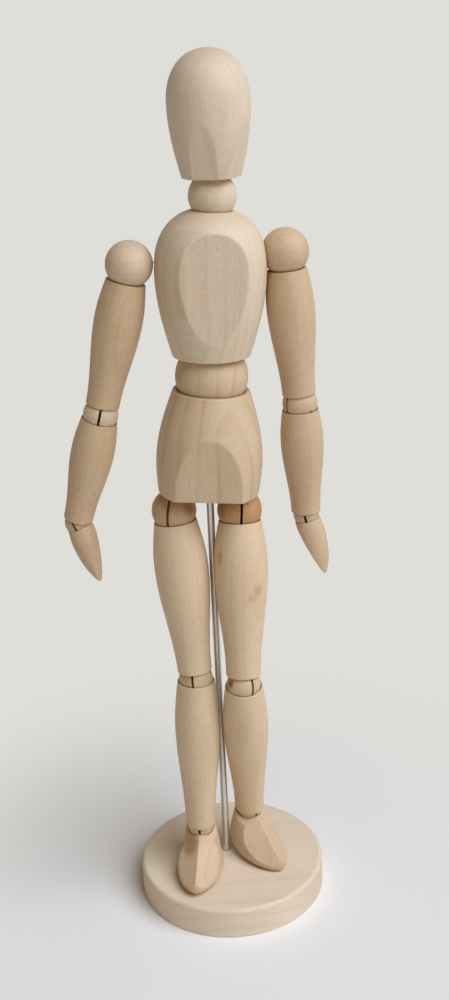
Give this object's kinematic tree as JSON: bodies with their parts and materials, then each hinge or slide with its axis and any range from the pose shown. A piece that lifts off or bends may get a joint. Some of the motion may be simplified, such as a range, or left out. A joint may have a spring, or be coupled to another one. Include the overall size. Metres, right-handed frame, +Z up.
{
  "type": "artist mannequin",
  "caption": "Jointed wooden lay figure with turned body pieces, slotted ball joints and a steel rod that holds it above a round stand.",
  "frame": {"origin": "centre of the stand's flat underside", "axes": "+Z up along the support rod, +X towards the figure's left arm, -Y towards the figure's front"},
  "size_m": [0.1006, 0.076, 0.3332],
  "materials": {
    "basswood": "satin",
    "stand_wood": "satin",
    "rod_steel": "polished",
    "spring_wire": "satin"
  },
  "bodies": {
    "base": {"base_disc": "stand_wood"},
    "rod": {"support_rod": "rod_steel"},
    "pelvis": {"pelvis": "basswood", "waist_eye": "spring_wire", "right_hip_eye": "spring_wire", "left_hip_eye": "spring_wire"},
    "waist_ball": {"waist_ball": "basswood"},
    "chest": {"chest": "basswood", "spine_spring": "spring_wire", "shoulder_spring": "spring_wire", "neck_collar": "spring_wire", "neck_spring": "spring_wire"},
    "neck": {"neck_ball": "basswood", "neck_pin": "spring_wire"},
    "head": {"head": "basswood", "head_eye": "spring_wire"},
    "right_shoulder_ball": {"right_shoulder_ball": "basswood", "right_shoulder_pin": "spring_wire"},
    "right_upper_arm": {"right_upper_arm": "basswood", "right_upper_arm_spring": "spring_wire"},
    "right_elbow_ball": {"right_elbow_ball": "basswood"},
    "right_forearm": {"right_forearm": "basswood", "right_forearm_spring": "spring_wire"},
    "right_wrist_ball": {"right_wrist_ball": "basswood"},
    "right_hand": {"right_hand": "basswood", "right_hand_eye": "spring_wire"},
    "right_hip_ball": {"right_hip_ball": "basswood"},
    "right_thigh": {"right_thigh": "basswood", "right_thigh_spring": "spring_wire"},
    "right_knee_ball": {"right_knee_ball": "basswood"},
    "right_shin": {"right_shin": "basswood", "right_shin_spring": "spring_wire"},
    "right_ankle_ball": {"right_ankle_ball": "basswood"},
    "right_foot": {"right_foot": "basswood", "right_foot_eye": "spring_wire"},
    "left_shoulder_ball": {"left_shoulder_ball": "basswood", "left_shoulder_pin": "spring_wire"},
    "left_upper_arm": {"left_upper_arm": "basswood", "left_upper_arm_spring": "spring_wire"},
    "left_elbow_ball": {"left_elbow_ball": "basswood"},
    "left_forearm": {"left_forearm": "basswood", "left_forearm_spring": "spring_wire"},
    "left_wrist_ball": {"left_wrist_ball": "basswood"},
    "left_hand": {"left_hand": "basswood", "left_hand_eye": "spring_wire"},
    "left_hip_ball": {"left_hip_ball": "basswood"},
    "left_thigh": {"left_thigh": "basswood", "left_thigh_spring": "spring_wire"},
    "left_knee_ball": {"left_knee_ball": "basswood"},
    "left_shin": {"left_shin": "basswood", "left_shin_spring": "spring_wire"},
    "left_ankle_ball": {"left_ankle_ball": "basswood"},
    "left_foot": {"left_foot": "basswood", "left_foot_eye": "spring_wire"}
  },
  "joints": [
    {"name": "rod_turn", "type": "hinge", "parent": "base", "child": "rod", "pos_m": [-0.0022, 0.0026, 0], "axis": [0, 0, 1], "continuous": true},
    {"name": "pelvis_slide", "type": "slide", "parent": "rod", "child": "pelvis", "axis": [0, 0, 1], "range_m": [0, 0.01]},
    {"name": "waist_bend", "type": "hinge", "parent": "pelvis", "child": "waist_ball", "pos_m": [0.0006, 0, 0.22039], "axis": [0.9945, 0.0785, -0.0695], "range_deg": [-25, 25]},
    {"name": "waist_sway", "type": "hinge", "parent": "waist_ball", "child": "chest", "pos_m": [0.0006, 0, 0.22039], "axis": [-0.0783, 0.9969, 0.0055], "range_deg": [-15, 9]},
    {"name": "neck_turn", "type": "hinge", "parent": "chest", "child": "neck", "pos_m": [0.00366, -0.00011, 0.28472], "axis": [0.035, -0.0027, 0.9994], "continuous": true},
    {"name": "head_nod", "type": "hinge", "parent": "neck", "child": "head", "pos_m": [0.00366, -0.00011, 0.28472], "axis": [0.913, 0.4067, -0.0309], "range_deg": [-25, 25]},
    {"name": "right_shoulder_swing", "type": "hinge", "parent": "chest", "child": "right_shoulder_ball", "pos_m": [-0.02665, -0.00237, 0.26256], "axis": [0.9966, 0.0781, 0.0266], "continuous": true},
    {"name": "left_shoulder_swing", "type": "hinge", "parent": "chest", "child": "left_shoulder_ball", "pos_m": [0.02867, 0.00196, 0.26404], "axis": [0.9966, 0.0781, 0.0266], "continuous": true},
    {"name": "right_shoulder_raise", "type": "hinge", "parent": "right_shoulder_ball", "child": "right_upper_arm", "pos_m": [-0.02665, -0.00237, 0.26256], "axis": [-0.0792, 0.996, 0.0421], "range_deg": [-9, 75]},
    {"name": "right_elbow_bend", "type": "hinge", "parent": "right_upper_arm", "child": "right_elbow_ball", "pos_m": [-0.0408, -0.00119, 0.20798], "axis": [0.9678, -0.0174, -0.2513], "range_deg": [-36, 31]},
    {"name": "right_elbow_sway", "type": "hinge", "parent": "right_elbow_ball", "child": "right_forearm", "pos_m": [-0.0408, -0.00119, 0.20798], "axis": [-0.0335, -0.9976, -0.0598], "range_deg": [-33, 17]},
    {"name": "right_wrist_bend", "type": "hinge", "parent": "right_forearm", "child": "right_wrist_ball", "pos_m": [-0.05309, 0.00181, 0.1648], "axis": [0.1999, 0.9798, 0.0112], "range_deg": [0, 61]},
    {"name": "right_wrist_sway", "type": "hinge", "parent": "right_wrist_ball", "child": "right_hand", "pos_m": [-0.05309, 0.00181, 0.1648], "axis": [-0.9171, 0.1911, -0.3498], "range_deg": [-9, 9]},
    {"name": "right_hip_bend", "type": "hinge", "parent": "pelvis", "child": "right_hip_ball", "pos_m": [-0.016, 0, 0.16862], "axis": [-0.9589, 0.2756, 0.0671], "range_deg": [0, 66]},
    {"name": "right_hip_sway", "type": "hinge", "parent": "right_hip_ball", "child": "right_thigh", "pos_m": [-0.016, 0, 0.16862], "axis": [0.2736, 0.9611, -0.0384], "range_deg": [0, 38]},
    {"name": "right_knee_bend", "type": "hinge", "parent": "right_thigh", "child": "right_knee_ball", "pos_m": [-0.01102, -0.00421, 0.09873], "axis": [-0.9794, 0.1849, -0.0809], "range_deg": [-1, 27]},
    {"name": "right_knee_sway", "type": "hinge", "parent": "right_knee_ball", "child": "right_shin", "pos_m": [-0.01102, -0.00421, 0.09873], "axis": [-0.1865, -0.9824, 0.0126], "range_deg": [-19, 3]},
    {"name": "right_ankle_bend", "type": "hinge", "parent": "right_shin", "child": "right_ankle_ball", "pos_m": [-0.0123, -0.00483, 0.03084], "axis": [0.9935, -0.1125, -0.0177], "range_deg": [-20, 4]},
    {"name": "right_ankle_sway", "type": "hinge", "parent": "right_ankle_ball", "child": "right_foot", "pos_m": [-0.0123, -0.00483, 0.03084], "axis": [0.1125, 0.9937, -0.0008], "range_deg": [-18, 18]},
    {"name": "left_shoulder_raise", "type": "hinge", "parent": "left_shoulder_ball", "child": "left_upper_arm", "pos_m": [0.02867, 0.00196, 0.26404], "axis": [0.0784, -0.9969, -0.009], "range_deg": [0, 75]},
    {"name": "left_elbow_bend", "type": "hinge", "parent": "left_upper_arm", "child": "left_elbow_ball", "pos_m": [0.03286, 0.0028, 0.2078], "axis": [-0.5933, 0.8044, -0.0322], "range_deg": [-34, 19]},
    {"name": "left_elbow_sway", "type": "hinge", "parent": "left_elbow_ball", "child": "left_forearm", "pos_m": [0.03286, 0.0028, 0.2078], "axis": [0.8024, 0.5941, 0.0563], "range_deg": [-36, 31]},
    {"name": "left_wrist_bend", "type": "hinge", "parent": "left_forearm", "child": "left_wrist_ball", "pos_m": [0.0345, 0.00484, 0.16288], "axis": [-0.1462, -0.988, -0.0503], "range_deg": [-35, 14]},
    {"name": "left_wrist_sway", "type": "hinge", "parent": "left_wrist_ball", "child": "left_hand", "pos_m": [0.0345, 0.00484, 0.16288], "axis": [0.9646, -0.1537, 0.2142], "range_deg": [-21, 28]},
    {"name": "left_hip_bend", "type": "hinge", "parent": "pelvis", "child": "left_hip_ball", "pos_m": [0.00886, 0, 0.16779], "axis": [-0.9951, -0.0698, 0.0696], "range_deg": [-1, 60]},
    {"name": "left_hip_sway", "type": "hinge", "parent": "left_hip_ball", "child": "left_thigh", "pos_m": [0.00886, 0, 0.16779], "axis": [0.0786, -0.9879, 0.134], "range_deg": [0, 34]},
    {"name": "left_knee_bend", "type": "hinge", "parent": "left_thigh", "child": "left_knee_ball", "pos_m": [0.00774, -0.00952, 0.09825], "axis": [-0.8524, -0.516, 0.0844], "range_deg": [-1, 42]},
    {"name": "left_knee_sway", "type": "hinge", "parent": "left_knee_ball", "child": "left_shin", "pos_m": [0.00774, -0.00952, 0.09825], "axis": [0.496, -0.8491, -0.1818], "range_deg": [0, 13]},
    {"name": "left_ankle_bend", "type": "hinge", "parent": "left_shin", "child": "left_ankle_ball", "pos_m": [0.00827, 0.00499, 0.03192], "axis": [-0.8577, -0.5007, -0.1164], "range_deg": [0, 20]},
    {"name": "left_ankle_sway", "type": "hinge", "parent": "left_ankle_ball", "child": "left_foot", "pos_m": [0.00827, 0.00499, 0.03192], "axis": [0.5123, -0.8514, -0.1125], "range_deg": [-1, 20]}
  ]
}
